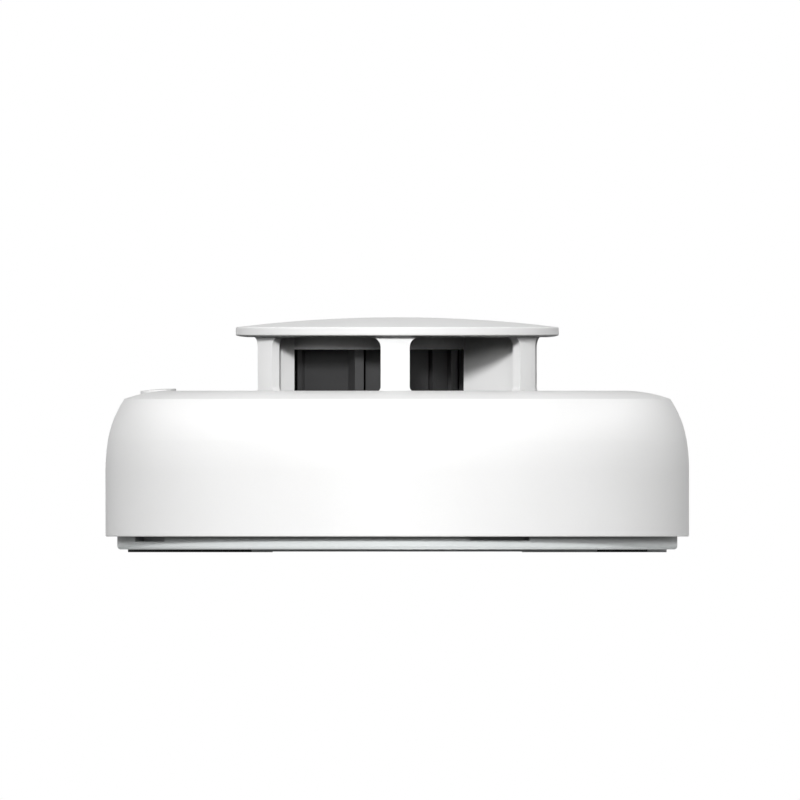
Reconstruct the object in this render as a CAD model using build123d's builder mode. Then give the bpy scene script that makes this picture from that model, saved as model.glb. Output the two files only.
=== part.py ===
from build123d import *
from math import cos, radians, sin, sqrt
import os

# Optical smoke alarm: a round mounting plate, a bowl-shaped casing that twists onto it,
# and a raised sensing head of six pillars under a low domed cap.
# Millimetres. +Z runs from the mounting surface out through the cap, -Y is the front,
# and the origin is the centre of the plane that the plate's pads rest on.
# Angles named "theta" are measured from the front (-Y) towards +X.

os.makedirs("parts", exist_ok=True)

# ---------------------------------------------------------------- driving dimensions
# casing
body_r = 58.0
wall = 2.0
z_skirt = 3.11            # lower edge of the skirt
z_side = 16.74            # end of the upright part of the side
shoulder_r1 = 32.8        # first, slow arc of the shoulder
z_junction = 22.30
shoulder_r2 = 21.0        # second, quicker arc, up to the crease
top_arc_r = 26.8          # arc between the crease and the flat top
flat_top_r = 45.1
z_top = 32.09
head_opening_r = 30.6

# mounting plate
plate_r = 55.67
plate_z0 = 0.54
plate_web_top = 2.60
plate_rim_in_r = 52.6
plate_rim_top = 6.30
plate_edge_r = 0.7
land_r = 53.54
land_in_r = 44.0
land_z = 0.12
notch_thetas = [-62.7, 21.6, 117.3, 201.6]
notch_span = 13.0
notch_floors = [2.10, 2.30, 2.10, 2.30]
groove_in_r = 53.9
groove_z0, groove_z1 = 3.60, 5.20
lug_span = 11.0
lug_in_r = 54.25
lug_z0, lug_z1 = 3.90, 4.90
lock_turn = 14.0          # twist between the entry notch and the locked position
slot_spacing = 60.0       # fixing holes
slot_len, slot_w = 9.0, 4.5
hole_r = 2.25

# sensing head
cage_r, cage_in_r = 30.3, 28.6
cage_theta0 = -0.8
pillar_w = 5.76
fin_t = 1.6
z_sill = 31.9
z_cap = 42.73             # underside of the cap at the pillars
window_top_corner_r = 2.1
window_low_corner_r = 1.1
chamber_x = -4.52         # the optical chamber stands off centre
lintel_x = -4.74          # and so does the ring round it
lintel_r, lintel_in_r = 19.98, 18.6
z_lintel = 40.29
cap_r = 32.1
cap_rim_z0, cap_rim_z1 = 43.09, 44.72
cap_apex = 46.69

# button
button_r = 3.55
button_at = 47.5
button_proud = 0.42       # crown of the button above the casing
button_edge = 0.29        # and its rim
button_tilt = radians(3.75)

# circuit board
pcb_z0, pcb_z1 = 21.0, 22.6
pcb_r = 51.3


# ---------------------------------------------------------------- helpers
def polar(r, theta, cx=0.0):
    """Point at radius r and angle theta (from -Y towards +X) about (cx, 0)."""
    a = radians(theta)
    return (cx + r * sin(a), -r * cos(a))


def ring_sector(r_in, r_out, mid, span):
    """Flat ring sector centred on theta = mid."""
    a0 = mid - span / 2 - 90
    with BuildSketch() as s:
        with BuildLine():
            CenterArc((0, 0), r_out, a0, span)
            CenterArc((0, 0), r_in, a0, span)
            Line(polar(r_in, mid - span / 2), polar(r_out, mid - span / 2))
            Line(polar(r_in, mid + span / 2), polar(r_out, mid + span / 2))
        make_face()
    return s.sketch


def radial_plane(theta, r, z, cx=0.0):
    """Plane facing outwards at angle theta, local x along the tangent, local y up."""
    a = radians(theta)
    p = polar(r, theta, cx)
    return Plane(origin=(p[0], p[1], z), x_dir=(cos(a), sin(a), 0), z_dir=(sin(a), -cos(a), 0))


def meet(ca, ra, cb, rb):
    """Outer meeting point of two circles."""
    dx, dy = cb[0] - ca[0], cb[1] - ca[1]
    d = sqrt(dx * dx + dy * dy)
    a = (ra * ra - rb * rb + d * d) / (2 * d)
    h = sqrt(ra * ra - a * a)
    mx, my = ca[0] + a * dx / d, ca[1] + a * dy / d
    pts = [(mx + h * dy / d, my - h * dx / d), (mx - h * dy / d, my + h * dx / d)]
    return max(pts, key=lambda p: p[0])


def arc_mid(c, p, q):
    """Middle of the shorter arc from p to q about c."""
    vx = (p[0] - c[0]) + (q[0] - c[0])
    vy = (p[1] - c[1]) + (q[1] - c[1])
    n = sqrt(vx * vx + vy * vy)
    r = sqrt((p[0] - c[0]) ** 2 + (p[1] - c[1]) ** 2)
    return (c[0] + vx / n * r, c[1] + vy / n * r)


def casing_points(t):
    """Half profile of the casing, t inside its outer surface."""
    c1 = (body_r - shoulder_r1, z_side)
    h = z_junction - z_side
    j0 = (c1[0] + sqrt(shoulder_r1**2 - h * h), z_junction)
    ux, uy = (j0[0] - c1[0]) / shoulder_r1, (j0[1] - c1[1]) / shoulder_r1
    c2 = (j0[0] - shoulder_r2 * ux, j0[1] - shoulder_r2 * uy)
    c3 = (flat_top_r, z_top - top_arc_r)
    p1 = (body_r - t, z_side)
    p2 = (j0[0] - t * ux, j0[1] - t * uy)
    p3 = meet(c2, shoulder_r2 - t, c3, top_arc_r - t)
    p4 = (flat_top_r, z_top - t)
    return p1, arc_mid(c1, p1, p2), p2, arc_mid(c2, p2, p3), p3, arc_mid(c3, p3, p4), p4


outer = casing_points(0.0)
inner = casing_points(wall)

# the button stands nearly square to the slope of the top
button_z = z_top - top_arc_r + sqrt(top_arc_r**2 - (button_at - flat_top_r) ** 2)
button_plane = Plane(
    origin=(-button_at, 0, button_z), x_dir=(0, 1, 0), z_dir=(-sin(button_tilt), 0, cos(button_tilt))
)
button_section = Plane(
    origin=(-button_at, 0, button_z), x_dir=(0, 1, 0), z_dir=(cos(button_tilt), 0, sin(button_tilt))
)

boss_at = 49.0            # casing screws, three round the rim
boss_r = 3.2
post_at = 41.0            # board screws
post_r = 2.6
post_thetas = [-45, 45, -115, 115]

# ---------------------------------------------------------------- mounting plate
entry_notches = [ring_sector(groove_in_r, plate_r + 1, t, notch_span) for t in notch_thetas]
lock_span = lock_turn + lug_span / 2 + 1.0 + 0.5
lock_grooves = [
    ring_sector(groove_in_r, plate_r + 1, t - lock_span / 2, lock_span) for t in notch_thetas
]
pad_spans = [(-61.5, 57.0), (58.15, 19.9), (118.5, 57.0), (238.15, 19.9)]
pad_pockets = [ring_sector(land_in_r - 1, land_r + 1, m, s + 0.6) for m, s in pad_spans]

with BuildPart() as mounting_plate:
    with BuildSketch(Plane.XY.offset(plate_z0)):
        Circle(plate_r)
    extrude(amount=plate_web_top - plate_z0)
    fillet(mounting_plate.edges().group_by(Axis.Z)[0], plate_edge_r)
    with BuildSketch(Plane.XY.offset(plate_web_top - 0.4)):
        Circle(plate_r)
        Circle(plate_rim_in_r, mode=Mode.SUBTRACT)
    extrude(amount=plate_rim_top - plate_web_top + 0.4)
    # rear land, and the shallow hollow inside it
    with BuildSketch(Plane.XY.offset(land_z)):
        Circle(land_r)
    extrude(amount=plate_z0 - land_z + 0.01)
    with BuildSketch(Plane.XY.offset(land_z)):
        Circle(land_in_r)
    extrude(amount=1.0 - land_z, mode=Mode.SUBTRACT)
    # flat seats where the pads are stuck
    with BuildSketch(Plane.XY.offset(land_z)):
        for s in pad_pockets:
            add(s)
    extrude(amount=plate_z0 - land_z, mode=Mode.SUBTRACT)
    # stiffening ring and ribs on the inner side
    with BuildSketch(Plane.XY.offset(plate_web_top - 0.2)):
        Circle(21.4)
        Circle(20.0, mode=Mode.SUBTRACT)
        with PolarLocations(37.2, 8, start_angle=22.5):
            Rectangle(32.6, 1.4)
    extrude(amount=1.7)
    # pads of material round the fixing holes
    with BuildSketch(Plane.XY.offset(plate_web_top - 0.2)):
        with Locations((slot_spacing / 2, 0), (-slot_spacing / 2, 0)):
            SlotOverall(slot_len + 5, slot_w + 5)
        with Locations((0, slot_spacing / 2), (0, -slot_spacing / 2)):
            Circle(hole_r + 2.5)
    extrude(amount=0.8)
    with BuildSketch(Plane.XY.offset(0)):
        with Locations((slot_spacing / 2, 0), (-slot_spacing / 2, 0)):
            SlotOverall(slot_len, slot_w)
        with Locations((0, slot_spacing / 2), (0, -slot_spacing / 2)):
            Circle(hole_r)
    extrude(amount=8, mode=Mode.SUBTRACT)
    # bayonet: entry notches open upwards, locking grooves run on from them
    for s, floor in zip(entry_notches, notch_floors):
        with BuildSketch(Plane.XY.offset(floor)):
            add(s)
        extrude(amount=plate_rim_top - floor + 1, mode=Mode.SUBTRACT)
    with BuildSketch(Plane.XY.offset(groove_z0)):
        for s in lock_grooves:
            add(s)
    extrude(amount=groove_z1 - groove_z0, mode=Mode.SUBTRACT)
mounting_plate.part.label = "mounting_plate"

pads_flat = [ring_sector(land_in_r + 1.5, land_r - 0.02, m, s) for m, s in pad_spans]
with BuildPart() as grip_pads:
    with BuildSketch(Plane.XY):
        for s in pads_flat:
            add(s)
    extrude(amount=plate_z0)
grip_pads.part.label = "grip_pads"

# ---------------------------------------------------------------- casing
lugs = [ring_sector(lug_in_r, body_r - wall + 0.3, t - lock_turn, lug_span) for t in notch_thetas]
with BuildPart() as housing_cover:
    with BuildSketch(Plane.XZ):
        with BuildLine():
            Polyline((0, z_skirt), (body_r, z_skirt), outer[0])
            ThreePointArc(outer[0], outer[1], outer[2])
            ThreePointArc(outer[2], outer[3], outer[4])
            ThreePointArc(outer[4], outer[5], outer[6])
            Polyline(outer[6], (0, z_top), (0, z_skirt))
        make_face()
    revolve(axis=Axis.Z)
    with BuildSketch(Plane.XZ):
        with BuildLine():
            Polyline((0, z_skirt - 1), (body_r - wall, z_skirt - 1), inner[0])
            ThreePointArc(inner[0], inner[1], inner[2])
            ThreePointArc(inner[2], inner[3], inner[4])
            ThreePointArc(inner[4], inner[5], inner[6])
            Polyline(inner[6], (0, z_top - wall), (0, z_skirt - 1))
        make_face()
    revolve(axis=Axis.Z, mode=Mode.SUBTRACT)
    fillet(housing_cover.edges().group_by(Axis.Z)[0], 0.25)
    with BuildSketch(Plane.XY.offset(z_top - wall - 1)):
        Circle(head_opening_r)
    extrude(amount=wall + 2, mode=Mode.SUBTRACT)
    chamfer(
        housing_cover.edges().filter_by(GeomType.CIRCLE).filter_by(lambda e: abs(e.radius - head_opening_r) < 0.01).sort_by(Axis.Z)[-1],
        0.25,
    )
    # ledge that the back cover stops against
    with BuildSketch(Plane.XY.offset(8.95)):
        Circle(body_r - wall + 0.3)
        Circle(body_r - wall - 1.2, mode=Mode.SUBTRACT)
    extrude(amount=1.0)
    # screw bosses for the back cover, and posts for the board
    with BuildSketch(Plane.XY.offset(11.6)):
        with PolarLocations(boss_at, 3, start_angle=-90):
            Circle(boss_r)
    extrude(amount=30.6 - 11.6)
    with BuildSketch(Plane.XY.offset(pcb_z1)):
        with Locations(*[polar(post_at, t) for t in post_thetas]):
            Circle(post_r)
    extrude(amount=30.6 - pcb_z1)
    with BuildSketch(Plane.XY.offset(11.6)):
        with PolarLocations(boss_at, 3, start_angle=-90):
            Circle(1.35)
    extrude(amount=12, mode=Mode.SUBTRACT)
    with BuildSketch(Plane.XY.offset(pcb_z1)):
        with Locations(*[polar(post_at, t) for t in post_thetas]):
            Circle(1.1)
    extrude(amount=5, mode=Mode.SUBTRACT)
    # hole for the test button, square to the sloping top
    with BuildSketch(button_plane):
        Circle(button_r + 0.15)
    extrude(amount=4, both=True, mode=Mode.SUBTRACT)
    # bayonet lugs
    with BuildSketch(Plane.XY.offset(lug_z0)):
        for s in lugs:
            add(s)
    extrude(amount=lug_z1 - lug_z0)
housing_cover.part.label = "housing_cover"

# ---------------------------------------------------------------- back cover
back_z0, back_z1 = 6.9, 8.9
cell_y, cell_z, cell_r = 38.2, 18.7, 8.5
with BuildPart() as back_cover:
    with BuildSketch(Plane.XY.offset(back_z0)):
        Circle(55.6)
    extrude(amount=back_z1 - back_z0)
    with BuildSketch(Plane.XY.offset(back_z1 - 0.2)):
        with PolarLocations(boss_at, 3, start_angle=-90):
            Circle(4.6)
    extrude(amount=11.5 - back_z1 + 0.2)
    with BuildSketch(Plane.XY.offset(back_z0)):
        with PolarLocations(boss_at, 3, start_angle=-90):
            Circle(3.1)
    extrude(amount=2.4, mode=Mode.SUBTRACT)
    with BuildSketch(Plane.XY.offset(back_z0)):
        with PolarLocations(boss_at, 3, start_angle=-90):
            Circle(1.7)
    extrude(amount=6, mode=Mode.SUBTRACT)
    # saddles under the cell
    with BuildSketch(Plane.XY.offset(back_z1 - 0.2)):
        with Locations((-11, cell_y), (11, cell_y)):
            Rectangle(2.4, 16.4)
    extrude(amount=6.2)
    with BuildSketch(Plane.YZ.offset(-20)):
        with Locations((cell_y, cell_z)):
            Circle(cell_r + 0.05)
    extrude(amount=40, mode=Mode.SUBTRACT)
    # stiffening ribs
    with BuildSketch(Plane.XY.offset(back_z1 - 0.2)):
        Circle(27.0)
        Circle(25.6, mode=Mode.SUBTRACT)
    extrude(amount=2.2)
back_cover.part.label = "back_cover"

with BuildPart() as housing_screws:
    with BuildSketch(Plane.XY.offset(back_z0 + 0.4)):
        with PolarLocations(boss_at, 3, start_angle=-90):
            Circle(2.8)
    extrude(amount=2.0)
    with BuildSketch(Plane.XY.offset(back_z0 + 2.4)):
        with PolarLocations(boss_at, 3, start_angle=-90):
            Circle(1.3)
    extrude(amount=11.0, taper=0)
    with BuildSketch(Plane.XY.offset(back_z0 + 0.4)):
        with PolarLocations(boss_at, 3, start_angle=-90):
            Rectangle(3.2, 0.8)
            Rectangle(0.8, 3.2)
    extrude(amount=1.2, mode=Mode.SUBTRACT)
housing_screws.part.label = "housing_screws"

# ---------------------------------------------------------------- sensing head
# pillars: flat-sided, flared where they meet the cap and the sill, faces on one cylinder
flare_t = z_cap + 0.06 - window_top_corner_r
flare_b = z_sill - 0.06 + window_low_corner_r
half = pillar_w / 2
top_out = half + window_top_corner_r - sqrt(window_top_corner_r**2 - (z_cap - flare_t) ** 2)
low_out = half + window_low_corner_r - sqrt(window_low_corner_r**2 - (flare_b - z_sill) ** 2)
top_c = (half + window_top_corner_r, flare_t)
low_c = (half + window_low_corner_r, flare_b)
top_m = arc_mid(top_c, (half, flare_t), (top_out, z_cap))
low_m = arc_mid(low_c, (half, flare_b), (low_out, z_sill))
z_root = z_sill - 0.8

with BuildPart() as pillars:
    for k in range(6):
        with BuildSketch(radial_plane(cage_theta0 + 60 * k, cage_in_r - 2, 0)):
            with BuildLine():
                Line((half, flare_b), (half, flare_t))
                ThreePointArc((half, flare_t), top_m, (top_out, z_cap))
                Line((top_out, z_cap), (-top_out, z_cap))
                ThreePointArc((-top_out, z_cap), (-top_m[0], top_m[1]), (-half, flare_t))
                Line((-half, flare_t), (-half, flare_b))
                ThreePointArc((-half, flare_b), (-low_m[0], low_m[1]), (-low_out, z_sill))
                Polyline((-low_out, z_sill), (-low_out, z_root), (low_out, z_root), (low_out, z_sill))
                ThreePointArc((low_out, z_sill), low_m, (half, flare_b))
            make_face()
        extrude(amount=5)
    with BuildSketch(Plane.XY.offset(z_root - 1)):
        Circle(cage_r)
        Circle(cage_in_r, mode=Mode.SUBTRACT)
    extrude(amount=z_cap - z_root + 2, mode=Mode.INTERSECT)

port_at = (22.6, 0)       # sound outlet in the floor of the head
with BuildPart() as sensor_cage:
    with BuildSketch(Plane.XY.offset(28.6)):
        Circle(33.0)
    extrude(amount=1.42)
    with BuildSketch(Plane.XY.offset(28.6)):
        Circle(cage_r + 0.1)
    extrude(amount=z_sill - 28.6)
    with BuildSketch(Plane.XY.offset(28.6)):
        Circle(27.4)
    extrude(amount=1.7, mode=Mode.SUBTRACT)
    add(pillars.part)
    # fins, from the pillars to the chamber's ring
    with BuildSketch(Plane.XY.offset(z_sill - 0.4)):
        with PolarLocations(14.5, 6, start_angle=cage_theta0 - 90):
            Rectangle(29.0, fin_t)
        with Locations((lintel_x, 0)):
            Circle(lintel_r - 0.4, mode=Mode.SUBTRACT)
    extrude(amount=z_cap - z_sill + 0.4)
    # lintel ring round the top of the chamber
    with BuildSketch(Plane.XY.offset(z_lintel)):
        with Locations((lintel_x, 0)):
            Circle(lintel_r)
            Circle(lintel_in_r, mode=Mode.SUBTRACT)
    extrude(amount=z_cap - z_lintel)
    # below the lintel the fins stop on its outer face
    with BuildSketch(Plane.XY.offset(28.0)):
        with Locations((lintel_x, 0)):
            Circle(lintel_r)
    extrude(amount=z_lintel - 28.0, mode=Mode.SUBTRACT)
    # sound outlet and its collar
    with BuildSketch(Plane.XY.offset(28.3)):
        with Locations(port_at):
            Circle(4.2)
    extrude(amount=2.2)
    with BuildSketch(Plane.XY.offset(28.0)):
        with Locations(port_at):
            Circle(3.0)
    extrude(amount=5, mode=Mode.SUBTRACT)
    # locating pegs for the cap, on every second fin
    with BuildSketch(Plane.XY.offset(z_cap - 0.2)):
        with PolarLocations(25.5, 3, start_angle=cage_theta0 - 90):
            Circle(0.7)
    extrude(amount=1.5)
sensor_cage.part.label = "sensor_cage"

dome_R = (cap_r**2 + (cap_apex - cap_rim_z1) ** 2) / (2 * (cap_apex - cap_rim_z1))
with BuildPart() as vent_cap:
    with BuildSketch(Plane.XZ):
        with BuildLine():
            Polyline((0, cap_apex), (0, z_cap), (29.8, z_cap), (31.3, 42.88), (cap_r, cap_rim_z0), (cap_r, cap_rim_z1))
            ThreePointArc(
                (cap_r, cap_rim_z1),
                (cap_r / 2, cap_apex - dome_R + sqrt(dome_R**2 - cap_r**2 / 4)),
                (0, cap_apex),
            )
        make_face()
    revolve(axis=Axis.Z)
    fillet(
        vent_cap.edges().filter_by(GeomType.CIRCLE).filter_by(lambda e: abs(e.radius - cap_r) < 0.01),
        0.28,
    )
    with BuildSketch(Plane.XY.offset(z_cap - 0.5)):
        with Locations((chamber_x, 0)):
            Circle(16.9)
    extrude(amount=1.9, mode=Mode.SUBTRACT)
    with BuildSketch(Plane.XY.offset(z_cap - 0.5)):
        with PolarLocations(25.5, 3, start_angle=cage_theta0 - 90):
            Circle(0.75)
    extrude(amount=2.0, mode=Mode.SUBTRACT)
vent_cap.part.label = "vent_cap"

# ---------------------------------------------------------------- optical chamber
# outer row of vanes: (start theta, end theta, radius at start, radius at end), about the chamber's axis
vane_t = 1.0
outer_vanes = [(-6.2, 20.2, 16.5, 17.1), (21.8, 40.2, 17.3, 16.6), (41.8, 60.2, 17.3, 16.7), (61.8, 80.2, 17.3, 16.8)]
outer_vanes += [(a, a + 18.4, 18.0, 17.5) for a in [81.8 + 20 * k for k in range(10)]]
outer_vanes += [(281.8, 290.6, 17.9, 17.6), (297.7, 303.0, 17.3, 17.2)]
inner_vanes = [1, 21, 41, 61, 141, 161, 181, 201, 221, 241, 261, 281]
floor_z = 31.6
roof_z = 41.0


def vane(a0, a1, r0, r1, t):
    return [
        polar(r0, a0, chamber_x),
        polar(r1, a1, chamber_x),
        polar(r1 - t, a1, chamber_x),
        polar(r0 - t, a0, chamber_x),
    ]


with BuildPart() as labyrinth_cover:
    with BuildSketch(Plane.XY.offset(roof_z)):
        with Locations((chamber_x, 0)):
            Circle(18.2)
    extrude(amount=1.5)
    with BuildSketch(Plane.XY.offset(floor_z)):
        for a0, a1, r0, r1 in outer_vanes:
            Polygon(*vane(a0, a1, r0, r1, 0.7 if a0 == 297.7 else vane_t), align=None)
        for a in inner_vanes:
            Polygon(*vane(a - 5.5, a + 5.5, 14.6, 14.6, 0.9), align=None)
    extrude(amount=roof_z - floor_z + 0.3)
labyrinth_cover.part.label = "labyrinth_cover"

emitter_theta, receiver_theta = -29.6, 105.4
optic_z = 36.0


def chamber_plane(theta, z):
    """Horizontal plane on the chamber's axis; local x along the tangent at theta, local -y outwards."""
    a = radians(theta)
    return Plane(origin=(chamber_x, 0, z), x_dir=(cos(a), sin(a), 0), z_dir=(0, 0, 1))


post_px = [(-9.72, -15.4), (-8.41, -18.88), (-6.68, -18.88), (-6.68, -17.6), (-7.7, -15.4)]
with BuildPart() as chamber_base:
    with BuildSketch(Plane.XY.offset(29.4)):
        with Locations((lintel_x, 0)):
            Circle(lintel_r - 0.15)
    extrude(amount=floor_z - 29.4)
    with BuildSketch(Plane.XY.offset(pcb_z1)):
        with Locations((chamber_x, 0)):
            Circle(16.0)
            Circle(14.6, mode=Mode.SUBTRACT)
    extrude(amount=29.6 - pcb_z1)
    # holder of the emitter, its flat back to the front left
    with BuildSketch(chamber_plane(emitter_theta, floor_z - 0.2)):
        with Locations((-2.3, -11.55)):
            Rectangle(10.2, 7.1)
    extrude(amount=40.2 - floor_z + 0.2)
    with BuildSketch(radial_plane(emitter_theta, 14.1, optic_z, chamber_x)):
        with Locations((-2.3, 0)):
            Circle(2.1)
    extrude(amount=-8, mode=Mode.SUBTRACT)
    with BuildSketch(chamber_plane(emitter_theta, 29.0)):
        with Locations((-2.3, -13.2)):
            Rectangle(3.4, 1.4)
    extrude(amount=optic_z - 29.0, mode=Mode.SUBTRACT)
    # holder of the photodiode
    with BuildSketch(chamber_plane(receiver_theta, floor_z - 0.2)):
        with Locations((0, -10.1)):
            Rectangle(8.4, 6.2)
    extrude(amount=40.2 - floor_z + 0.2)
    with BuildSketch(radial_plane(receiver_theta, 12.4, optic_z, chamber_x)):
        Rectangle(5.0, 5.0)
    extrude(amount=-2.4, mode=Mode.SUBTRACT)
    with BuildSketch(radial_plane(receiver_theta, 12.4, optic_z, chamber_x)):
        Circle(1.7)
    extrude(amount=-6.5, mode=Mode.SUBTRACT)
    with BuildSketch(chamber_plane(receiver_theta, 29.0)):
        with Locations((0, -11.7)):
            Rectangle(3.6, 1.2)
    extrude(amount=optic_z - 29.0, mode=Mode.SUBTRACT)
    # baffle post beside the emitter holder
    with BuildSketch(Plane.XY.offset(floor_z - 0.2)):
        Polygon(*post_px, align=None)
    extrude(amount=40.2 - floor_z + 0.2)
chamber_base.part.label = "chamber_base"

with BuildPart() as ir_emitter:
    # 3 mm lamp: flange, body and dome on one axis, with two legs down to the board
    emitter_axis = radial_plane(emitter_theta, 0, optic_z, chamber_x)
    with BuildSketch(radial_plane(emitter_theta, 13.6, optic_z, chamber_x)):
        with Locations((-2.3, 0)):
            Circle(2.0)
    extrude(amount=-1.0)
    with BuildSketch(radial_plane(emitter_theta, 12.8, optic_z, chamber_x)):
        with Locations((-2.3, 0)):
            Circle(1.5)
    extrude(amount=-4.2)
    fillet(ir_emitter.faces().sort_by(SortBy.AREA).filter_by(GeomType.PLANE).filter_by(lambda f: f.area < 7.2)[-1].edges(), 1.2)
    with BuildSketch(chamber_plane(emitter_theta, pcb_z0 - 0.6)):
        with Locations((-2.3 - 1.27, -13.2), (-2.3 + 1.27, -13.2)):
            Rectangle(0.5, 0.5)
    extrude(amount=optic_z - pcb_z0 + 0.6)
ir_emitter.part.label = "ir_emitter"

with BuildPart() as photodiode:
    with BuildSketch(radial_plane(receiver_theta, 12.3, optic_z, chamber_x)):
        Rectangle(4.6, 4.6)
    extrude(amount=-2.0)
    with BuildSketch(radial_plane(receiver_theta, 10.5, optic_z, chamber_x)):
        Circle(1.4)
    extrude(amount=-0.9)
    with BuildSketch(chamber_plane(receiver_theta, pcb_z0 - 0.6)):
        with Locations((-1.27, -11.7), (1.27, -11.7)):
            Rectangle(0.5, 0.5)
    extrude(amount=optic_z - pcb_z0 + 0.6)
photodiode.part.label = "photodiode"

# ---------------------------------------------------------------- circuit board and what it carries
emitter_legs = [(-2.3 - 1.27, -13.2), (-2.3 + 1.27, -13.2)]
receiver_legs = [(-1.27, -11.7), (1.27, -11.7)]
with BuildPart() as main_pcb:
    with BuildSketch(Plane.XY.offset(pcb_z0)):
        Circle(pcb_r)
        with Locations((0, 27.5 + 20)):
            Rectangle(120, 40, mode=Mode.SUBTRACT)
        with PolarLocations(boss_at, 3, start_angle=-90):
            Circle(boss_r + 0.6, mode=Mode.SUBTRACT)
        with Locations(*[polar(post_at, t) for t in post_thetas]):
            Circle(1.35, mode=Mode.SUBTRACT)
    extrude(amount=pcb_z1 - pcb_z0)
    with BuildSketch(chamber_plane(emitter_theta, pcb_z0)):
        with Locations(*emitter_legs):
            Circle(0.45)
    extrude(amount=4, mode=Mode.SUBTRACT)
    with BuildSketch(chamber_plane(receiver_theta, pcb_z0)):
        with Locations(*receiver_legs):
            Circle(0.45)
    extrude(amount=4, mode=Mode.SUBTRACT)
main_pcb.part.label = "main_pcb"

with BuildPart() as pcb_screws:
    with BuildSketch(Plane.XY.offset(pcb_z0 - 1.6)):
        with Locations(*[polar(post_at, t) for t in post_thetas]):
            Circle(2.2)
    extrude(amount=1.6)
    with BuildSketch(Plane.XY.offset(pcb_z0)):
        with Locations(*[polar(post_at, t) for t in post_thetas]):
            Circle(1.05)
    extrude(amount=6.0)
    with BuildSketch(Plane.XY.offset(pcb_z0 - 1.6)):
        with Locations(*[polar(post_at, t) for t in post_thetas]):
            Rectangle(2.6, 0.6)
            Rectangle(0.6, 2.6)
    extrude(amount=0.9, mode=Mode.SUBTRACT)
pcb_screws.part.label = "pcb_screws"

with BuildPart() as microcontroller:
    with BuildSketch(Plane.XY.offset(pcb_z0 - 1.5)):
        with Locations((2, -24)):
            Rectangle(7, 7)
    extrude(amount=1.4)
    with BuildSketch(Plane.XY.offset(pcb_z0 - 0.35)):
        with Locations((2, -24)):
            Rectangle(9, 5.8)
            Rectangle(5.8, 9)
    extrude(amount=0.35)
microcontroller.part.label = "microcontroller"

with BuildPart() as smoke_asic:
    with BuildSketch(Plane.XY.offset(pcb_z0 - 1.75)):
        with Locations((-24, -12)):
            Rectangle(3.9, 9.9)
    extrude(amount=1.6)
    with BuildSketch(Plane.XY.offset(pcb_z0 - 0.3)):
        with Locations((-24, -12)):
            with GridLocations(0, 1.27, 1, 8):
                Rectangle(6.0, 0.45)
    extrude(amount=0.3)
smoke_asic.part.label = "smoke_asic"

cap_places = [(20, -27), (28, -20)]
with BuildPart() as capacitors:
    with BuildSketch(Plane.XY.offset(pcb_z0 - 7.4)):
        with Locations(*cap_places):
            Circle(3.15)
    extrude(amount=7.4)
    fillet(capacitors.edges().group_by(Axis.Z)[0], 0.4)
capacitors.part.label = "capacitors"

with BuildPart() as boost_inductor:
    with BuildSketch(Plane.XY.offset(pcb_z0 - 8.0)):
        with Locations((-14, -33)):
            Circle(4.4)
    extrude(amount=1.2)
    with BuildSketch(Plane.XY.offset(pcb_z0 - 6.8)):
        with Locations((-14, -33)):
            Circle(3.7)
    extrude(amount=5.8)
    with BuildSketch(Plane.XY.offset(pcb_z0 - 1.2)):
        with Locations((-14, -33)):
            Circle(4.4)
    extrude(amount=1.2)
boost_inductor.part.label = "boost_inductor"

with BuildPart() as smd_passives:
    with BuildSketch(Plane.XY.offset(pcb_z0 - 0.6)):
        with Locations((-9, -18), (12, -16)):
            with GridLocations(3.2, 2.4, 2, 4):
                Rectangle(1.6, 0.8)
    extrude(amount=0.6)
smd_passives.part.label = "smd_passives"

with BuildPart() as amplifier_shield:
    with BuildSketch(Plane.XY.offset(pcb_z0 - 3.2)):
        with Locations((10, 9)):
            Rectangle(14, 11)
    extrude(amount=3.2)
    with BuildSketch(Plane.XY.offset(pcb_z0 - 2.9)):
        with Locations((10, 9)):
            Rectangle(13.4, 10.4)
    extrude(amount=2.9, mode=Mode.SUBTRACT)
amplifier_shield.part.label = "amplifier_shield"

# tact switch under the button, and the lamp beside it
switch_x = -button_at + (button_z - 27.2) * sin(button_tilt) / cos(button_tilt)
with BuildPart() as tact_switch:
    with BuildSketch(Plane.XY.offset(pcb_z1)):
        with Locations((switch_x, 0)):
            Rectangle(6.0, 6.0)
    extrude(amount=3.5)
    with BuildSketch(Plane.XY.offset(pcb_z1 + 1.0)):
        with Locations((switch_x, 0)):
            Circle(2.0)
    extrude(amount=5, mode=Mode.SUBTRACT)
tact_switch.part.label = "tact_switch"

with BuildPart() as switch_plunger:
    with BuildSketch(Plane.XY.offset(pcb_z1 + 1.6)):
        with Locations((switch_x, 0)):
            Circle(1.7)
    extrude(amount=27.2 - pcb_z1 - 1.6)
switch_plunger.part.label = "switch_plunger"

with BuildPart() as test_button:
    # slightly crowned cap, with a flange behind it
    with BuildSketch(button_section):
        with BuildLine():
            Polyline((0, button_proud), (0, -2.9), (button_r, -2.9), (button_r, button_edge))
            ThreePointArc(
                (button_r, button_edge),
                (button_r / 2, button_proud - (button_proud - button_edge) / 4),
                (0, button_proud),
            )
        make_face()
    revolve(axis=Axis(button_plane.origin, button_plane.z_dir))
    fillet(
        test_button.edges().filter_by(GeomType.CIRCLE).filter_by(lambda e: abs(e.radius - button_r) < 0.01).sort_by(Axis.Z)[-1],
        0.12,
    )
    with BuildSketch(button_plane.offset(-3.7)):
        Circle(button_r + 0.9)
    extrude(amount=0.95)
    with BuildSketch(Plane.XY.offset(27.2)):
        with Locations((switch_x, 0)):
            Circle(1.2)
    extrude(amount=1.6)
test_button.part.label = "test_button"

with BuildPart() as status_led:
    with BuildSketch(Plane.XY.offset(pcb_z1)):
        with Locations((-41.0, 0)):
            Rectangle(1.6, 3.2)
    extrude(amount=0.6)
    with BuildSketch(Plane.XY.offset(pcb_z1 + 0.6)):
        with Locations((-41.0, 0)):
            Rectangle(1.4, 2.2)
    extrude(amount=0.6, taper=12)
status_led.part.label = "status_led"

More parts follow.
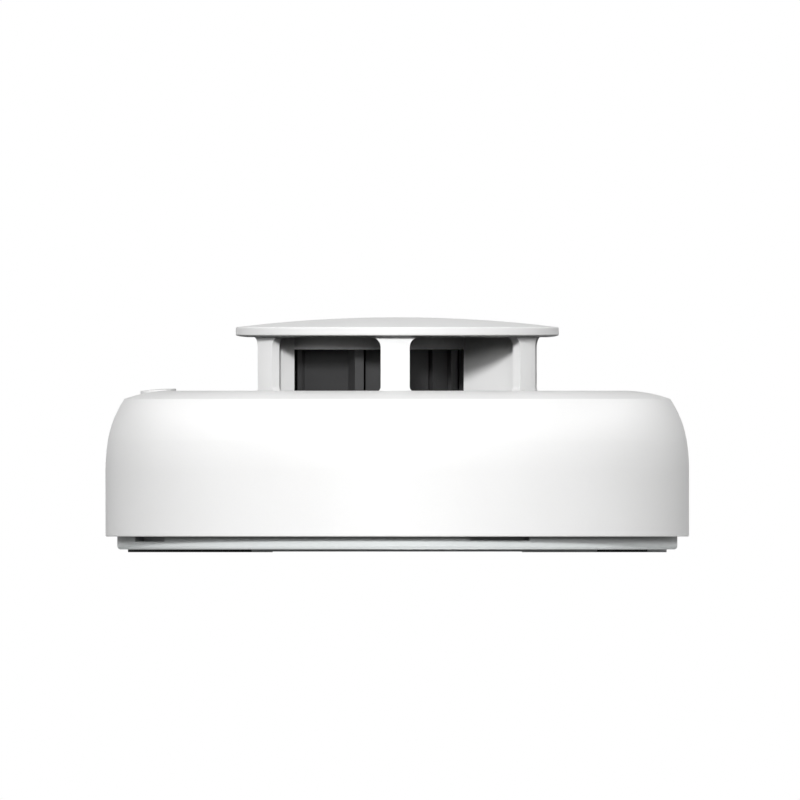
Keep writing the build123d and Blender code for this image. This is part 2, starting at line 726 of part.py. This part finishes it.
# ---------------------------------------------------------------- cell
with BuildPart() as battery_cell:
    with BuildSketch(Plane.YZ.offset(-16.8)):
        with Locations((cell_y, cell_z)):
            Circle(cell_r)
    extrude(amount=33.0)
    fillet(battery_cell.edges().filter_by(GeomType.CIRCLE), 0.6)
    with BuildSketch(Plane.YZ.offset(16.0)):
        with Locations((cell_y, cell_z)):
            Circle(3.2)
    extrude(amount=1.2)
battery_cell.part.label = "battery_cell"

with BuildPart() as battery_contacts:
    for x in (-17.2, 17.25):
        with BuildSketch(Plane.YZ.offset(x)):
            with BuildLine():
                Polyline((43, 13.7), (43, 23.6), (25.5, 23.6), (25.5, pcb_z1), (33, pcb_z1), (33, 13.7), close=True)
            make_face()
        extrude(amount=0.3)
battery_contacts.part.label = "battery_contacts"

# ---------------------------------------------------------------- sounder
sounder_x = 31.0
with BuildPart() as sounder_housing:
    with BuildSketch(Plane.XY.offset(pcb_z1)):
        with Locations((sounder_x, 0)):
            Circle(13.2)
    extrude(amount=28.2 - pcb_z1)
    with BuildSketch(Plane.XY.offset(pcb_z1)):
        with Locations((sounder_x, 0)):
            Circle(11.2)
    extrude(amount=2.0, mode=Mode.SUBTRACT)
    with BuildSketch(Plane.XY.offset(pcb_z1 + 2.0)):
        with Locations((sounder_x, 0)):
            Circle(12.1)
    extrude(amount=27.0 - pcb_z1 - 2.0, mode=Mode.SUBTRACT)
    with BuildSketch(Plane.XY.offset(26.0)):
        with Locations(port_at):
            Circle(3.0)
    extrude(amount=4, mode=Mode.SUBTRACT)
sounder_housing.part.label = "sounder_housing"

with BuildPart() as piezo_disc:
    with BuildSketch(Plane.XY.offset(pcb_z1 + 2.0)):
        with Locations((sounder_x, 0)):
            Circle(12.0)
    extrude(amount=0.25)
    with BuildSketch(Plane.XY.offset(pcb_z1 + 2.25)):
        with Locations((sounder_x, 0)):
            Circle(9.0)
    extrude(amount=0.25)
piezo_disc.part.label = "piezo_disc"

with BuildPart() as sounder_contacts:
    with BuildSketch(Plane.XY.offset(pcb_z1)):
        with Locations((sounder_x - 4, 3), (sounder_x + 7, -4)):
            Circle(0.9)
    extrude(amount=2.0, taper=8)
sounder_contacts.part.label = "sounder_contacts"

# ---------------------------------------------------------------- write
for piece in [
    mounting_plate, grip_pads, housing_cover, back_cover, housing_screws, sensor_cage, vent_cap,
    labyrinth_cover, chamber_base, ir_emitter, photodiode, main_pcb, pcb_screws, microcontroller,
    smoke_asic, capacitors, boost_inductor, smd_passives, amplifier_shield, tact_switch,
    switch_plunger, test_button, status_led, battery_cell, battery_contacts, sounder_housing,
    piezo_disc, sounder_contacts,
]:
    export_step(piece.part, f"parts/{piece.part.label}.step")
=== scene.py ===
import bpy, bmesh
from math import sin, cos, radians, pi, sqrt, asin
from mathutils import Vector, Matrix

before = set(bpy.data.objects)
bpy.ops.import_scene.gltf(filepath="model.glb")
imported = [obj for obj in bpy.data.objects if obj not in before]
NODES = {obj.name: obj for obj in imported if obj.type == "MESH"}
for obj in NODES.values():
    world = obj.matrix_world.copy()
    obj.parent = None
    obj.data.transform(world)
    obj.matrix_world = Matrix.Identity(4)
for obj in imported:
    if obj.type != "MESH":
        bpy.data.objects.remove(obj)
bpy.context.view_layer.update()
MM = 0.001


# ------------------------------------------------------------------ node helpers
def tree(name):
    m = bpy.data.materials.new(name)
    m.use_nodes = True
    nt = m.node_tree
    nt.nodes.clear()
    out = nt.nodes.new("ShaderNodeOutputMaterial")
    bsdf = nt.nodes.new("ShaderNodeBsdfPrincipled")
    nt.links.new(bsdf.outputs["BSDF"], out.inputs["Surface"])
    return m, nt, bsdf


def coords(nt):
    return nt.nodes.new("ShaderNodeTexCoord").outputs["Object"]


def axes(nt, co):
    s = nt.nodes.new("ShaderNodeSeparateXYZ")
    nt.links.new(co, s.inputs["Vector"])
    return s.outputs["X"], s.outputs["Y"], s.outputs["Z"]


def noise(nt, coord, scale, detail=2.0, rough=0.5, distortion=0.0):
    n = nt.nodes.new("ShaderNodeTexNoise")
    n.inputs["Scale"].default_value = scale
    n.inputs["Detail"].default_value = detail
    n.inputs["Roughness"].default_value = rough
    n.inputs["Distortion"].default_value = distortion
    nt.links.new(coord, n.inputs["Vector"])
    return n.outputs["Fac"]


def scaled(nt, co, s):
    m = nt.nodes.new("ShaderNodeMapping")
    m.inputs["Scale"].default_value = s
    nt.links.new(co, m.inputs["Vector"])
    return m.outputs["Vector"]


def math_(nt, op, a, b=None, c=None, clamp=False):
    m = nt.nodes.new("ShaderNodeMath")
    m.operation = op
    m.use_clamp = clamp
    for i, v in enumerate((a, b, c)):
        if v is None:
            continue
        if isinstance(v, (int, float)):
            m.inputs[i].default_value = v
        else:
            nt.links.new(v, m.inputs[i])
    return m.outputs[0]


def ramp(nt, fac, stops, interpolation="LINEAR"):
    r = nt.nodes.new("ShaderNodeValToRGB")
    cr = r.color_ramp
    cr.interpolation = interpolation
    while len(cr.elements) < len(stops):
        cr.elements.new(0.5)
    for e, (p, c) in zip(cr.elements, stops):
        e.position = p
        e.color = (*c, 1.0)
    nt.links.new(fac, r.inputs["Fac"])
    return r.outputs["Color"]


def span(nt, value, lo, hi, a=0.0, b=1.0, smooth=False):
    r = nt.nodes.new("ShaderNodeMapRange")
    if smooth:
        r.interpolation_type = "SMOOTHSTEP"
    r.inputs["From Min"].default_value = a
    r.inputs["From Max"].default_value = b
    r.inputs["To Min"].default_value = lo
    r.inputs["To Max"].default_value = hi
    nt.links.new(value, r.inputs["Value"])
    return r.outputs["Result"]


def mixc(nt, fac, a, b, blend="MIX"):
    m = nt.nodes.new("ShaderNodeMix")
    m.data_type = "RGBA"
    m.blend_type = blend
    if isinstance(fac, (int, float)):
        m.inputs[0].default_value = fac
    else:
        nt.links.new(fac, m.inputs[0])
    for i, v in ((6, a), (7, b)):
        if isinstance(v, tuple):
            m.inputs[i].default_value = (*v, 1.0)
        else:
            nt.links.new(v, m.inputs[i])
    return m.outputs[2]


def mixf(nt, fac, a, b):
    m = nt.nodes.new("ShaderNodeMix")
    m.data_type = "FLOAT"
    if isinstance(fac, (int, float)):
        m.inputs[0].default_value = fac
    else:
        nt.links.new(fac, m.inputs[0])
    for i, v in ((2, a), (3, b)):
        if isinstance(v, (int, float)):
            m.inputs[i].default_value = v
        else:
            nt.links.new(v, m.inputs[i])
    return m.outputs[0]


def bump(nt, b, height, strength, distance):
    n = nt.nodes.new("ShaderNodeBump")
    n.inputs["Strength"].default_value = strength
    n.inputs["Distance"].default_value = distance
    nt.links.new(height, n.inputs["Height"])
    nt.links.new(n.outputs["Normal"], b.inputs["Normal"])
    return n


# ------------------------------------------------------------------ materials
def moulded(name, dark, light, rough=(0.42, 0.52), grain=2600, grain_bump=0.12, ior=1.46, spec=0.5,
            broad=35, share=0.25, flow=0.0):
    """Injection-moulded plastic: faint broad tone drift, a fine spark-eroded grain, uneven gloss."""
    m, nt, b = tree(name)
    co = coords(nt)
    n1 = noise(nt, co, broad, 3.0)
    n2 = noise(nt, co, grain, 2.0, 0.6)
    col = ramp(nt, mixf(nt, share, n1, n2), [(0.3, dark), (0.7, light)])
    nt.links.new(col, b.inputs["Base Color"])
    n3 = noise(nt, co, 140, 3.0)
    nt.links.new(span(nt, n3, rough[0], rough[1], 0.3, 0.7), b.inputs["Roughness"])
    height = n2
    if flow:
        n4 = noise(nt, co, 60, 2.0)
        height = math_(nt, "MULTIPLY_ADD", n4, flow, n2)
    bump(nt, b, height, grain_bump, 0.00003)
    b.inputs["IOR"].default_value = ior
    b.inputs["Specular IOR Level"].default_value = spec
    return m


def metal(name, dark, light, rough=(0.25, 0.4), stretch=(1, 1, 1), scale=900, bump_k=0.15):
    """Plated metal: tone and gloss streaked along one direction, fine scratches in the bump."""
    m, nt, b = tree(name)
    co = coords(nt)
    st = scaled(nt, co, stretch)
    n1 = noise(nt, st, scale, 4.0, 0.65)
    n2 = noise(nt, co, 120, 2.0)
    col = ramp(nt, mixf(nt, 0.35, n1, n2), [(0.3, dark), (0.7, light)])
    nt.links.new(col, b.inputs["Base Color"])
    b.inputs["Metallic"].default_value = 1.0
    nt.links.new(span(nt, n1, rough[0], rough[1], 0.3, 0.7), b.inputs["Roughness"])
    bump(nt, b, n1, bump_k, 0.00002)
    return m


def box_mask(nt, x, y, cx, cy, hx, hy):
    """1 outside the rectangle about (cx, cy)."""
    dx = math_(nt, "ABSOLUTE", math_(nt, "SUBTRACT", x, cx))
    dy = math_(nt, "ABSOLUTE", math_(nt, "SUBTRACT", y, cy))
    return math_(nt, "MAXIMUM", math_(nt, "GREATER_THAN", dx, hx), math_(nt, "GREATER_THAN", dy, hy))


def chip(name, cx, cy, hx, hy):
    """Moulded epoxy body with tinned leads outside it."""
    m, nt, b = tree(name)
    co = coords(nt)
    x, y, z = axes(nt, co)
    lead = box_mask(nt, x, y, cx, cy, hx, hy)
    g = noise(nt, co, 3500, 3.0, 0.7)
    body = ramp(nt, g, [(0.3, (0.016, 0.016, 0.017)), (0.7, (0.034, 0.034, 0.036))])
    tin = ramp(nt, noise(nt, co, 1500, 2.0), [(0.3, (0.62, 0.62, 0.61)), (0.7, (0.8, 0.8, 0.79))])
    nt.links.new(mixc(nt, lead, body, tin), b.inputs["Base Color"])
    nt.links.new(lead, b.inputs["Metallic"])
    nt.links.new(mixf(nt, lead, span(nt, g, 0.5, 0.68, 0.3, 0.7), 0.28), b.inputs["Roughness"])
    bump(nt, b, g, 0.25, 0.00003)
    return m


def board(name):
    """Green solder mask over copper tracks, bare laminate at the cut edges."""
    m, nt, b = tree(name)
    co = coords(nt)
    gm = nt.nodes.new("ShaderNodeNewGeometry")
    nx, ny, nz = axes(nt, gm.outputs["Normal"])
    edge = math_(nt, "LESS_THAN", math_(nt, "ABSOLUTE", nz), 0.5)
    v = nt.nodes.new("ShaderNodeTexVoronoi")
    v.feature = "DISTANCE_TO_EDGE"
    v.distance = "CHEBYCHEV" if hasattr(v, "distance") else v.distance
    v.inputs["Scale"].default_value = 210
    nt.links.new(scaled(nt, co, (1.0, 1.0, 0.0)), v.inputs["Vector"])
    track = span(nt, v.outputs["Distance"], 1.0, 0.0, 0.055, 0.075)
    x, y, z = axes(nt, co)
    poly = ramp(nt, noise(nt, co, 220, 2.0), [(0.3, (0.006, 0.082, 0.036)), (0.7, (0.01, 0.108, 0.048))])
    over = ramp(nt, noise(nt, co, 900, 2.0), [(0.3, (0.022, 0.19, 0.085)), (0.7, (0.03, 0.23, 0.1))])
    mask = mixc(nt, track, poly, over)
    fibre = noise(nt, scaled(nt, co, (1, 1, 12)), 600, 3.0)
    laminate = ramp(nt, fibre, [(0.3, (0.42, 0.34, 0.16)), (0.7, (0.6, 0.52, 0.3))])
    nt.links.new(mixc(nt, edge, mask, laminate), b.inputs["Base Color"])
    nt.links.new(mixf(nt, edge, 0.24, 0.75), b.inputs["Roughness"])
    weave = noise(nt, co, 1400, 2.0)
    bump(nt, b, math_(nt, "MULTIPLY_ADD", track, 0.8, math_(nt, "MULTIPLY", weave, 0.2)), 0.35, 0.00004)
    b.inputs["IOR"].default_value = 1.55
    return m


def can(name, z_end, centres):
    """Electrolytic capacitor: printed-free sleeve with a pale stripe, bare scored end."""
    m, nt, b = tree(name)
    co = coords(nt)
    x, y, z = axes(nt, co)
    gm = nt.nodes.new("ShaderNodeNewGeometry")
    nx, ny, nz = axes(nt, gm.outputs["Normal"])
    end = math_(nt, "LESS_THAN", nz, -0.93)
    stripe = math_(nt, "GREATER_THAN", nx, 0.86)
    n = noise(nt, co, 700, 3.0)
    sleeve = ramp(nt, n, [(0.3, (0.018, 0.022, 0.05)), (0.7, (0.032, 0.038, 0.075))])
    pale = ramp(nt, n, [(0.3, (0.5, 0.52, 0.55)), (0.7, (0.6, 0.62, 0.65))])
    bare = ramp(nt, noise(nt, scaled(nt, co, (1, 9, 1)), 900, 3.0), [(0.3, (0.6, 0.6, 0.61)), (0.7, (0.78, 0.78, 0.79))])
    nt.links.new(mixc(nt, end, mixc(nt, stripe, sleeve, pale), bare), b.inputs["Base Color"])
    nt.links.new(end, b.inputs["Metallic"])
    nt.links.new(mixf(nt, end, 0.3, 0.35), b.inputs["Roughness"])
    bump(nt, b, n, 0.12, 0.00004)
    return m


def winding(name, z0, z1):
    """Drum inductor: ferrite flanges, enamelled copper turns between them."""
    m, nt, b = tree(name)
    co = coords(nt)
    x, y, z = axes(nt, co)
    mid = math_(nt, "MULTIPLY", math_(nt, "GREATER_THAN", z, z0), math_(nt, "LESS_THAN", z, z1))
    turns = math_(nt, "ABSOLUTE", math_(nt, "SINE", math_(nt, "MULTIPLY", z, pi / 0.00042)))
    n = noise(nt, co, 1800, 3.0)
    ferrite = ramp(nt, n, [(0.3, (0.035, 0.034, 0.034)), (0.7, (0.07, 0.068, 0.066))])
    copper = ramp(nt, turns, [(0.05, (0.12, 0.03, 0.012)), (0.6, (0.62, 0.24, 0.1))])
    nt.links.new(mixc(nt, mid, ferrite, copper), b.inputs["Base Color"])
    nt.links.new(mixf(nt, mid, span(nt, n, 0.6, 0.75), 0.25), b.inputs["Roughness"])
    nt.links.new(math_(nt, "MULTIPLY", mid, 0.7), b.inputs["Metallic"])
    bump(nt, b, math_(nt, "MULTIPLY_ADD", math_(nt, "MULTIPLY", turns, mid), 3.0, n), 0.5, 0.00004)
    return m


def passives(name):
    """Chip parts: fired ceramic middles with tinned end caps."""
    m, nt, b = tree(name)
    co = coords(nt)
    x, y, z = axes(nt, co)
    left = math_(nt, "LESS_THAN", x, 0.001)
    c0 = mixf(nt, left, 0.0104, -0.0106)
    d = math_(nt, "PINGPONG", math_(nt, "SUBTRACT", x, c0), 0.0016)
    cap = math_(nt, "GREATER_THAN", d, 0.00052)
    row = math_(nt, "GREATER_THAN", noise(nt, scaled(nt, co, (0.3, 1, 0)), 330, 0.0), 0.5)
    n = noise(nt, co, 2500, 2.0)
    tan = ramp(nt, n, [(0.3, (0.3, 0.2, 0.12)), (0.7, (0.42, 0.3, 0.18))])
    black = ramp(nt, n, [(0.3, (0.02, 0.02, 0.022)), (0.7, (0.04, 0.04, 0.042))])
    tin = ramp(nt, n, [(0.3, (0.62, 0.62, 0.6)), (0.7, (0.78, 0.78, 0.76))])
    nt.links.new(mixc(nt, cap, mixc(nt, row, tan, black), tin), b.inputs["Base Color"])
    nt.links.new(cap, b.inputs["Metallic"])
    nt.links.new(mixf(nt, cap, 0.5, 0.3), b.inputs["Roughness"])
    bump(nt, b, n, 0.2, 0.00003)
    return m


def cell(name, x0, x1, cy, cz):
    """Cylindrical lithium cell: two-tone shrink sleeve, bare steel at both ends."""
    m, nt, b = tree(name)
    co = coords(nt)
    x, y, z = axes(nt, co)
    dy = math_(nt, "SUBTRACT", y, cy)
    dz = math_(nt, "SUBTRACT", z, cz)
    rr = math_(nt, "SQRT", math_(nt, "ADD", math_(nt, "MULTIPLY", dy, dy), math_(nt, "MULTIPLY", dz, dz)))
    side = math_(nt, "GREATER_THAN", rr, 0.0074)
    inside = math_(nt, "MULTIPLY", math_(nt, "GREATER_THAN", x, x0), math_(nt, "LESS_THAN", x, x1))
    sleeve = math_(nt, "MULTIPLY", side, inside)
    band = math_(nt, "GREATER_THAN", x, x1 - 0.0085)
    n = noise(nt, scaled(nt, co, (1, 3, 3)), 260, 3.0)
    body = ramp(nt, n, [(0.3, (0.05, 0.12, 0.3)), (0.7, (0.07, 0.15, 0.36))])
    tip = ramp(nt, n, [(0.3, (0.66, 0.68, 0.7)), (0.7, (0.76, 0.78, 0.8))])
    steel = ramp(nt, noise(nt, co, 800, 2.0), [(0.3, (0.6, 0.6, 0.59)), (0.7, (0.76, 0.76, 0.75))])
    nt.links.new(mixc(nt, sleeve, steel, mixc(nt, band, body, tip)), b.inputs["Base Color"])
    nt.links.new(math_(nt, "SUBTRACT", 1.0, sleeve), b.inputs["Metallic"])
    nt.links.new(mixf(nt, sleeve, 0.3, span(nt, n, 0.16, 0.26, 0.3, 0.7)), b.inputs["Roughness"])
    bump(nt, b, n, 0.2, 0.00006)
    return m


def disc(name, cx, r0):
    """Piezo disc: brass plate, silvered ceramic in the middle."""
    m, nt, b = tree(name)
    co = coords(nt)
    x, y, z = axes(nt, co)
    dx = math_(nt, "SUBTRACT", x, cx)
    rr = math_(nt, "SQRT", math_(nt, "ADD", math_(nt, "MULTIPLY", dx, dx), math_(nt, "MULTIPLY", y, y)))
    mid = math_(nt, "LESS_THAN", rr, r0)
    n = noise(nt, co, 700, 3.0)
    brass = ramp(nt, n, [(0.3, (0.6, 0.42, 0.16)), (0.7, (0.76, 0.56, 0.25))])
    silver = ramp(nt, n, [(0.3, (0.66, 0.65, 0.62)), (0.7, (0.8, 0.79, 0.76))])
    nt.links.new(mixc(nt, mid, brass, silver), b.inputs["Base Color"])
    nt.links.new(mixf(nt, mid, 1.0, 0.55), b.inputs["Metallic"])
    nt.links.new(mixf(nt, mid, span(nt, n, 0.22, 0.38, 0.3, 0.7), 0.5), b.inputs["Roughness"])
    bump(nt, b, n, 0.15, 0.00003)
    return m


def resin(name, dark, light, rough, ior=1.53, depth=0.0):
    """Cast epoxy: glossy, with faint swirls of tint."""
    m, nt, b = tree(name)
    co = coords(nt)
    n = noise(nt, co, 500, 3.0, 0.5, 0.6)
    nt.links.new(ramp(nt, n, [(0.3, dark), (0.7, light)]), b.inputs["Base Color"])
    nt.links.new(span(nt, noise(nt, co, 900, 2.0), rough, rough + 0.08, 0.3, 0.7), b.inputs["Roughness"])
    b.inputs["IOR"].default_value = ior
    b.inputs["Coat Weight"].default_value = 0.4
    b.inputs["Coat Roughness"].default_value = 0.05
    bump(nt, b, n, 0.05, 0.00003)
    return m


def switch(name, z_top):
    """Black switch body with a steel plate on top."""
    m, nt, b = tree(name)
    co = coords(nt)
    x, y, z = axes(nt, co)
    top = math_(nt, "GREATER_THAN", z, z_top)
    n = noise(nt, co, 1600, 3.0)
    black = ramp(nt, n, [(0.3, (0.02, 0.02, 0.021)), (0.7, (0.04, 0.04, 0.042))])
    steel = ramp(nt, noise(nt, scaled(nt, co, (1, 10, 1)), 900, 3.0), [(0.3, (0.55, 0.55, 0.55)), (0.7, (0.75, 0.75, 0.75))])
    nt.links.new(mixc(nt, top, black, steel), b.inputs["Base Color"])
    nt.links.new(top, b.inputs["Metallic"])
    nt.links.new(mixf(nt, top, 0.5, 0.32), b.inputs["Roughness"])
    bump(nt, b, n, 0.15, 0.00003)
    return m


W0, W1 = (0.80, 0.80, 0.797), (0.835, 0.835, 0.832)
CASING = moulded("casing_white", W0, W1, rough=(0.40, 0.50), flow=0.6)
# the cage white is set a little lighter than the casing white: part its own white plastic, part painted light
# standing in for the light thrown between fins and pillars, which the render leaves out
CAGE_WHITE_WITH_PAINTED_BOUNCE = moulded("cage_white_with_painted_bounce", (0.86, 0.86, 0.857), (0.885, 0.885, 0.882), rough=(0.42, 0.52), grain=3000)
CAP = moulded("cap_white", W0, W1, rough=(0.40, 0.50), flow=0.6)
BUTTON = moulded("button_white", (0.79, 0.79, 0.785), (0.825, 0.825, 0.82), rough=(0.34, 0.42), grain=3600, grain_bump=0.08)
PLATE = moulded("plate_grey", (0.70, 0.73, 0.727), (0.735, 0.765, 0.762), rough=(0.4, 0.5))
BACK = moulded("back_white", (0.70, 0.70, 0.69), (0.75, 0.75, 0.74), rough=(0.45, 0.55))
BLACK = moulded("chamber_black", (0.028, 0.028, 0.029), (0.04, 0.04, 0.041), rough=(0.55, 0.68), grain=3500)
RUBBER = moulded("pad_rubber", (0.012, 0.014, 0.014), (0.022, 0.025, 0.025), rough=(0.75, 0.9), grain=5000, grain_bump=0.35)

MATS = {
    "mounting_plate": PLATE,
    "grip_pads": RUBBER,
    "housing_cover": CASING,
    "back_cover": BACK,
    "sensor_cage": CAGE_WHITE_WITH_PAINTED_BOUNCE,
    "vent_cap": CAP,
    "labyrinth_cover": BLACK,
    "chamber_base": BLACK,
    "test_button": BUTTON,
    "housing_screws": metal("screw_zinc", (0.5, 0.51, 0.52), (0.68, 0.69, 0.7), stretch=(1, 1, 6)),
    "pcb_screws": metal("board_screw_zinc", (0.5, 0.51, 0.52), (0.68, 0.69, 0.7), stretch=(1, 1, 6)),
    "ir_emitter": resin("emitter_resin", (0.05, 0.08, 0.2), (0.08, 0.12, 0.28), 0.05),
    "photodiode": resin("photodiode_resin", (0.008, 0.008, 0.011), (0.018, 0.018, 0.024), 0.1),
    "main_pcb": board("board_laminate"),
    "microcontroller": chip("controller_chip", 0.002, -0.024, 0.00352, 0.00352),
    "smoke_asic": chip("smoke_chip", -0.024, -0.012, 0.00198, 0.00498),
    "capacitors": can("capacitor_can", 0.0, None),
    "boost_inductor": winding("inductor_drum", 0.0142, 0.0198),
    "smd_passives": passives("chip_parts"),
    "amplifier_shield": metal("shield_tin", (0.6, 0.6, 0.59), (0.76, 0.76, 0.75), rough=(0.22, 0.36), stretch=(1, 8, 1)),
    "tact_switch": switch("switch_body", 0.02605),
    "switch_plunger": moulded("plunger_black", (0.02, 0.02, 0.021), (0.035, 0.035, 0.036), rough=(0.4, 0.5)),
    "status_led": resin("led_resin", (0.55, 0.09, 0.05), (0.7, 0.14, 0.08), 0.12),
    "battery_cell": cell("cell_sleeve", -0.0161, 0.0155, 0.0382, 0.0187),
    "battery_contacts": metal("nickel_strip", (0.58, 0.56, 0.52), (0.74, 0.72, 0.67), stretch=(1, 1, 10), rough=(0.28, 0.42)),
    "sounder_housing": moulded("sounder_black", (0.018, 0.018, 0.019), (0.03, 0.03, 0.031), rough=(0.4, 0.55)),
    "piezo_disc": disc("piezo_brass", 0.031, 0.00905),
    "sounder_contacts": metal("contact_gold", (0.66, 0.48, 0.18), (0.82, 0.63, 0.3), rough=(0.18, 0.3)),
}
for name, o in NODES.items():
    for s in o.material_slots:
        s.material = MATS[name]

# ------------------------------------------------------------------ stage, light and camera
scene = bpy.context.scene
scene.view_settings.view_transform = "Standard"
scene.view_settings.look = "None"
scene.view_settings.exposure = 0.0
scene.view_settings.gamma = 1.0


def studio_floor():
    bm = bmesh.new()
    rings, n = [0.3, 1.0, 4.0], 96
    z = -0.00004
    mid = bm.verts.new((0, 0, z))
    prev = None
    for r in rings:
        ring = [bm.verts.new((r * cos(2 * pi * i / n), r * sin(2 * pi * i / n), z)) for i in range(n)]
        for i in range(n):
            j = (i + 1) % n
            if prev is None:
                bm.faces.new((mid, ring[i], ring[j]))
            else:
                bm.faces.new((prev[i], ring[i], ring[j], prev[j]))
        prev = ring
    me = bpy.data.meshes.new("studio_floor")
    bm.to_mesh(me)
    bm.free()
    o = bpy.data.objects.new("studio_floor", me)
    scene.collection.objects.link(o)
    m = moulded("floor_paper", (0.80, 0.80, 0.80), (0.83, 0.83, 0.83), rough=(0.8, 0.9), grain=900, grain_bump=0.05, spec=0.2)
    nt = m.node_tree
    # the paper is seen from above only, so that the underside can be looked at through it
    out = next(k for k in nt.nodes if k.type == "OUTPUT_MATERIAL")
    bsdf = next(k for k in nt.nodes if k.type == "BSDF_PRINCIPLED")
    geo = nt.nodes.new("ShaderNodeNewGeometry")
    clear = nt.nodes.new("ShaderNodeBsdfTransparent")
    mix = nt.nodes.new("ShaderNodeMixShader")
    nt.links.new(geo.outputs["Backfacing"], mix.inputs["Fac"])
    nt.links.new(bsdf.outputs["BSDF"], mix.inputs[1])
    nt.links.new(clear.outputs["BSDF"], mix.inputs[2])
    nt.links.new(mix.outputs["Shader"], out.inputs["Surface"])
    me.materials.append(m)
    o.visible_shadow = False
    o.visible_diffuse = False
    o.visible_glossy = False
    return o


studio_floor()

world = bpy.data.worlds.new("studio")
scene.world = world
world.use_nodes = True
wn = world.node_tree
wn.nodes.clear()
wo = wn.nodes.new("ShaderNodeOutputWorld")
bg = wn.nodes.new("ShaderNodeBackground")
bgc = wn.nodes.new("ShaderNodeBackground")
mx = wn.nodes.new("ShaderNodeMixShader")
lp = wn.nodes.new("ShaderNodeLightPath")
wx, wy, wz = axes(wn, wn.nodes.new("ShaderNodeTexCoord").outputs["Generated"])
# soft boxes painted on the sky, brightness against the sine of the elevation: low ones at front and
# back, higher ones at both sides
LOW = [(-1.0, 0.05), (-0.12, 0.06), (0.0, 0.25), (0.06, 0.3), (0.16, 0.5), (0.19, 3.4), (0.355, 3.4), (0.40, 0.15), (0.6, 0.03), (1.0, 0.02)]
BACK_SKY = [(-1.0, 0.05), (-0.12, 0.06), (0.0, 0.7), (0.10, 0.45), (0.34, 0.25), (0.44, 1.0), (0.60, 1.0), (0.66, 0.1), (0.7, 0.03), (1.0, 0.02)]
HIGH = [(-1.0, 0.05), (-0.12, 0.06), (0.0, 0.25), (0.06, 0.3), (0.36, 0.35), (0.42, 4.3), (0.56, 4.3), (0.61, 0.1), (0.7, 0.03), (1.0, 0.02)]
PEAK = 4.6
up = span(wn, wz, 0.0, 1.0, -1.0, 1.0)
flat2 = math_(wn, "SUBTRACT", 1.0001, math_(wn, "MULTIPLY", wz, wz))
sideways = math_(wn, "DIVIDE", math_(wn, "MULTIPLY", wx, wx), flat2)
near_far = mixc(
    wn,
    span(wn, wy, 0.0, 1.0, -0.15, 0.25, smooth=True),
    ramp(wn, up, [((z + 1) / 2, (v / PEAK,) * 3) for z, v in LOW]),
    ramp(wn, up, [((z + 1) / 2, (v / PEAK,) * 3) for z, v in BACK_SKY]),
)
sky = mixc(
    wn,
    span(wn, sideways, 0.0, 1.0, 0.45, 0.70, smooth=True),
    near_far,
    ramp(wn, up, [((z + 1) / 2, (v / PEAK,) * 3) for z, v in HIGH]),
)
wn.links.new(sky, bg.inputs["Color"])
wn.links.new(math_(wn, "MULTIPLY_ADD", wx, 0.06 * PEAK, PEAK * 1.0), bg.inputs["Strength"])
bgc.inputs["Color"].default_value = (1, 1, 1, 1)
bgc.inputs["Strength"].default_value = 1.0
wn.links.new(lp.outputs["Is Camera Ray"], mx.inputs["Fac"])
wn.links.new(bg.outputs["Background"], mx.inputs[1])
wn.links.new(bgc.outputs["Background"], mx.inputs[2])
wn.links.new(mx.outputs["Shader"], wo.inputs["Surface"])


def area(name, az, el, dist, size, power, colour=(1, 1, 1)):
    """Soft box at azimuth az (0 is the front, + towards +X) and elevation el, aimed at the object."""
    a, e = radians(az), radians(el)
    d = Vector((sin(a) * cos(e), -cos(a) * cos(e), sin(e)))
    l = bpy.data.lights.new(name, "AREA")
    l.shape = "DISK"
    l.size = size
    l.energy = power
    l.color = colour
    o = bpy.data.objects.new(name, l)
    scene.collection.objects.link(o)
    o.location = Vector((0, 0, 0.03)) + d * dist
    o.rotation_mode = "QUATERNION"
    o.rotation_quaternion = d.to_track_quat("Z", "Y")
    o.visible_camera = False
    return o


area("key", -7.0, 21.5, 1.2, 0.14, 9.7)

area("under", 0.0, -90.0, 1.2, 0.25, 6.8)

# soft boxes do the filling, so that no light is thrown from one surface to the next
scene.cycles.diffuse_bounces = 0

cam_data = bpy.data.cameras.new("camera")
cam = bpy.data.objects.new("camera", cam_data)
scene.collection.objects.link(cam)
cam_data.type = "ORTHO"
cam_data.ortho_scale = 0.159013
cam.location = (0.00054, -1.0, 0.03025)
cam.rotation_euler = (radians(90), 0, 0)
cam_data.clip_start, cam_data.clip_end = 0.01, 20
scene.camera = cam
